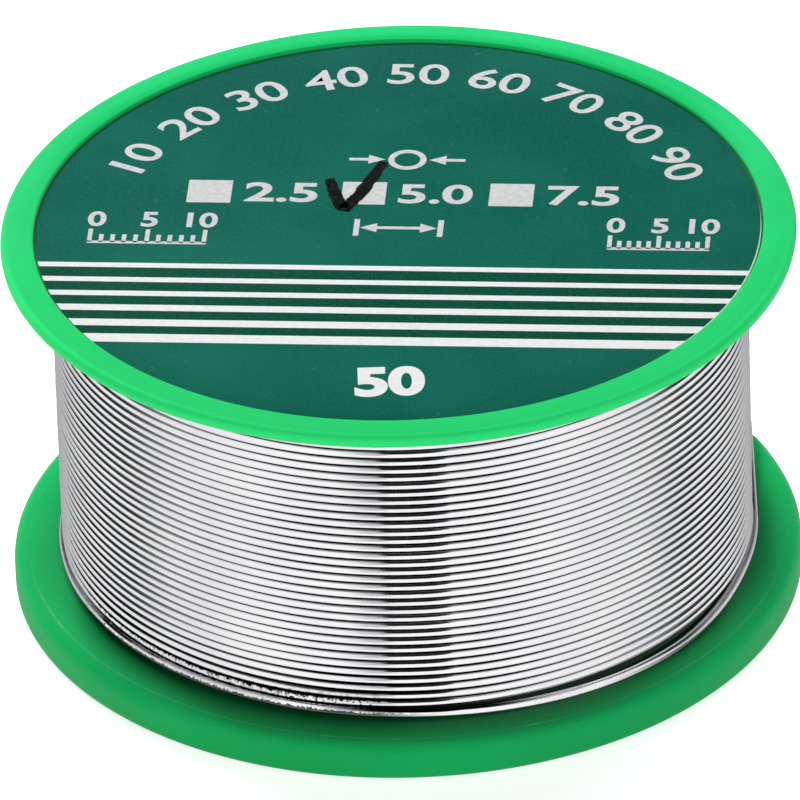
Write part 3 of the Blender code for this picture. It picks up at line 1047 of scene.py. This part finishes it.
def winding_line():
    """The wire from inside the drum, round every turn, to where it leaves the last one."""
    bend_y = math.sqrt(TURN_RADIUS**2 - START_BEND**2) - START_BEND
    points = [(0, TAIL_HIGH.y, FIRST_HEIGHT)]
    bend_steps = 6
    for i in range(bend_steps + 1):
        turn = math.pi / 2 * i / bend_steps
        x = START_BEND * (math.cos(turn) - 1)
        points.append((x, bend_y + START_BEND * math.sin(turn), FIRST_HEIGHT))
    first = 4  # the bend stands for the points before it
    for i in range(first, round(TURNS_SHOWN * POINTS_PER_TURN) + 1):
        turns = i / POINTS_PER_TURN
        left = TURNS_SHOWN - turns
        angle = START_ANGLE + 2 * math.pi * turns
        loose = smoothstep((LOOSE_FROM - left) / LOOSE_RUN) * 0.6
        loose += smoothstep((LEAVE_FROM - left) / LEAVE_FROM) * 0.4
        span = SLACK_LEAD if left > SLACK_PEAK else SLACK_SPAN
        slack = smoothstep(1 - abs(left - SLACK_PEAK) / span)
        uneven = smoothstep((UNEVEN_FROM - left) / UNEVEN_RUN)
        wander = noise.noise(Vector((math.cos(angle) * 1.3, math.sin(angle) * 1.3, turns * 0.9)))
        rise = noise.noise(Vector((math.cos(angle), math.sin(angle), 40 + turns * 0.7)))
        radius = TURN_RADIUS + LAST_TURN_PROUD * loose + SLACK_BULGE * slack
        radius += (WANDER + UNEVEN_WANDER * uneven) * wander * (1 - loose)
        height = FIRST_HEIGHT - WIRE_PITCH * turns + WAVE * rise
        height += (LAST_HEIGHT - height) * smoothstep((LEVEL_FROM - left) / LEVEL_FROM)
        height += (SAG_HEIGHT - height) * slack
        points.append((radius * math.cos(angle), radius * math.sin(angle), height))
    points.append((LAST_TURN_RADIUS, END_START, LAST_HEIGHT))
    return points


def free_end_line(start_y):
    """The wire straight back from the last turn, over the rim and down into its notch."""
    centre_y = NOTCH_Y - END_BEND
    slope = math.atan2(END_BEND + DECK - LAST_HEIGHT, centre_y - start_y)
    end_y = centre_y - END_BEND * math.sin(slope)
    end_z = DECK + END_BEND * math.cos(slope)
    points = []
    straight_steps, bend_steps = 9, 12
    for i in range(straight_steps):
        share = i / straight_steps
        y = start_y + (end_y - start_y) * share
        points.append((LAST_TURN_RADIUS, y, LAST_HEIGHT + (end_z - LAST_HEIGHT) * share))
    for i in range(bend_steps + 1):
        heading = slope - (slope + math.pi / 2) * i / bend_steps
        y = centre_y - END_BEND * math.sin(heading)
        points.append((LAST_TURN_RADIUS, y, DECK + END_BEND * math.cos(heading)))
    points.append((LAST_TURN_RADIUS, NOTCH_Y, END_FOOT))
    return points


def solder_wire(material):
    """One unbroken wire from the drum to just past the last turn."""
    line = winding_line()
    wire_tube("solder_winding", line, DRAWN_RADIUS, material, "solder_metal", "wire_winding")


def solder_end(material, flux):
    """The free end, with the flux showing in its cut face."""
    name, node = "solder_free_end", "wire_free_end"
    line = free_end_line(END_START + 0.01)
    wire_tube(name, line, DRAWN_RADIUS, material, "solder_metal", node, sides=20)
    thread = [(x, y, z - 0.01) for x, y, z in line[-2:]]
    wire_tube("flux_thread", thread, FLUX_RADIUS, flux, "flux_resin", "flux_core", sides=16)


def solder_start(material):
    """The wire's start, hooked down inside the drum."""
    foot_y = TAIL_LOW.y + WIRE_RADIUS
    line = [(0, TAIL_HIGH.y - 0.01, FIRST_HEIGHT)]
    bend_steps = 8
    for i in range(bend_steps + 1):
        turn = math.pi / 2 * i / bend_steps
        y = foot_y + START_BEND * (1 - math.sin(turn))
        line.append((0, y, FIRST_HEIGHT - START_BEND * (1 - math.cos(turn))))
    line.append((0, foot_y, TAIL_LOW.z))
    name, node = "solder_start_hook", "wire_start_tail"
    wire_tube(name, line, WIRE_RADIUS, material, "solder_metal", node, sides=16)


# The studio.

FLOOR_SIZE = 6000
FLOOR_WHITE = (0.84, 0.84, 0.84, 1)
FLOOR_GLOW = (0.72, 0.72, 0.72, 1)  # as the camera sees it, so that the lit paper shows white


def floor():
    """A pale floor that shows white and keeps the spool's shadow."""
    shape = bmesh.new()
    bmesh.ops.create_grid(shape, x_segments=2, y_segments=2, size=FLOOR_SIZE / 2 * MM)
    mesh = bpy.data.meshes.new("floor")
    shape.to_mesh(mesh)
    shape.free()
    finish = Finish("floor_paper", roughness=0.9, specular_ior_level=0.0)
    seen = finish.node("ShaderNodeLightPath", output="Is Camera Ray")
    seen = seen.math("MAXIMUM", seen.beside("Is Transmission Ray"))
    glow = finish.mix(seen, BLACK, FLOOR_GLOW)
    finish.set(base_color=FLOOR_WHITE, emission_color=glow, emission_strength=1.0)
    mesh.materials.append(finish.material)
    obj = bpy.data.objects.new("floor", mesh)
    bpy.context.scene.collection.objects.link(obj)
    obj.visible_glossy = False  # metal shows the white surroundings in its place


def softbox(name, place, aim, width, height, level):
    """A rectangular lamp that lights white to a level at the point it faces. Mirrors don't show it."""
    light = bpy.data.lights.new(name, "AREA")
    light.shape = "RECTANGLE"
    light.size = width * MM
    light.size_y = height * MM
    obj = bpy.data.objects.new(name, light)
    bpy.context.scene.collection.objects.link(obj)
    obj.visible_glossy = False
    place = Vector(place) * MM
    away = Vector(aim) * MM - place
    obj.location = place
    obj.rotation_euler = away.to_track_quat("-Z", "Y").to_euler()
    light.energy = level * math.pi**2 * away.length_squared


def mirrored_room(room):
    """How bright the room is in the wire's mirror, from 0 to 1.

    Directions are given by azimuth, and by the sine of the angle above level. The room is white, with
    a dark opening overhead that reaches low in front, a dark ceiling and a dark back wall. It is greyer
    towards the sides and the back, and in a strip just left of the front.
    """
    east, north, up = room.parts(room.node("ShaderNodeTexCoord", output="Generated"))
    azimuth = azimuth_of(room, east, north)
    aside = azimuth.math("ABSOLUTE")
    opening_foot = (
        room.ramp(azimuth, 6, 20, 0, 0.7)
        + room.ramp(azimuth, -12, -6, 0.7, 0)
        + math.sin(math.radians(10))
    )
    opening = room.ramp(up - opening_foot, -0.03, 0.03)
    back_wall = room.ramp(aside, 80, 100) * room.ramp(up, 0.05, 0.3)
    ceiling = room.ramp(up, 0.93, 0.98)
    dimmed = room.band(azimuth, (-60, -14), (8, 60)) * room.ramp(up, 0.5, 0.85) * 0.75
    dark = opening.math("MAXIMUM", back_wall).math("MAXIMUM", ceiling).math("MAXIMUM", dimmed)
    sides = room.ramp(aside, 30, 80) * 0.15 + room.ramp(aside, 115, 145) * 0.4
    strip = room.band(azimuth, (-22, -10), (-8, -4)) * room.ramp(up, -0.6, -0.2)
    return (1 - dark * 0.985) * (1 - sides) * (1 - strip * 0.45)


def surroundings():
    """White to the camera, patterned to the wire's mirror, and an even fill to all else."""
    world = bpy.data.worlds.new("studio")
    bpy.context.scene.world = world
    world.use_nodes = True
    room = Room(world.node_tree)
    camera_ray = room.node("ShaderNodeLightPath", output="Is Camera Ray")
    plain = camera_ray.math("MAXIMUM", camera_ray.beside("Is Transmission Ray"))
    first_bounce = camera_ray.beside("Diffuse Depth").math("LESS_THAN", 0.5)
    mirror = camera_ray.beside("Is Glossy Ray") * first_bounce
    rest = (1 - plain) * (1 - mirror)
    strength = plain + mirror * mirrored_room(room) + rest * WORLD_FILL
    background = room.node("ShaderNodeBackground", sockets={"Color": WHITE, "Strength": strength})
    room.node("ShaderNodeOutputWorld", sockets={"Surface": background})


def camera():
    """A long lens at the photograph's angle, rolled as the photograph is."""
    data = bpy.data.cameras.new("camera")
    obj = bpy.data.objects.new("camera", data)
    bpy.context.scene.collection.objects.link(obj)
    bpy.context.scene.camera = obj
    ahead = Vector((0, math.cos(VIEW_ELEVATION), -math.sin(VIEW_ELEVATION)))
    side = Vector((1, 0, 0))
    up = side.cross(ahead)
    right = side * math.cos(VIEW_ROLL) + up * math.sin(VIEW_ROLL)
    up = right.cross(ahead)
    turn = Matrix((right, up, -ahead)).transposed().to_4x4()
    place = (VIEW_TARGET - ahead * VIEW_DISTANCE) * MM
    obj.matrix_world = Matrix.Translation(place) @ turn
    data.lens = data.sensor_width * VIEW_DISTANCE * PIXELS_PER_MM / IMAGE_WIDTH
    data.clip_start = 0.1
    data.clip_end = 20


def main():
    inner = inner_plastic()
    loose_tin = DrawnTin("solder_tin_free", LOOSE_ROUGHNESS).done()
    for flange in (lower_flange(lower_plastic()), upper_flange(upper_plastic())):
        flange.visible_glossy = False  # the wire shows no green in its mirror
    barrel(inner)
    spindle(inner)
    label(label_paper())
    label_print(print_ink())
    marker_tick(marker_ink())
    solder_wire(wound_tin())
    solder_end(loose_tin, flux_resin())
    solder_start(loose_tin)
    floor()
    surroundings()
    middle = (0, 0, TOP / 2)
    softbox("left_softbox", (-240, 570, 480), middle, 420, 300, LEFT_LIGHT)
    softbox("right_softbox", (250, 500, 560), middle, 300, 300, RIGHT_LIGHT)
    for side in (-1, 1):
        softbox("front_softbox", (side * 620, -680, 150), middle, 300, 200, FRONT_LIGHT)
    camera()
    bpy.context.scene.view_settings.view_transform = "Standard"


main()
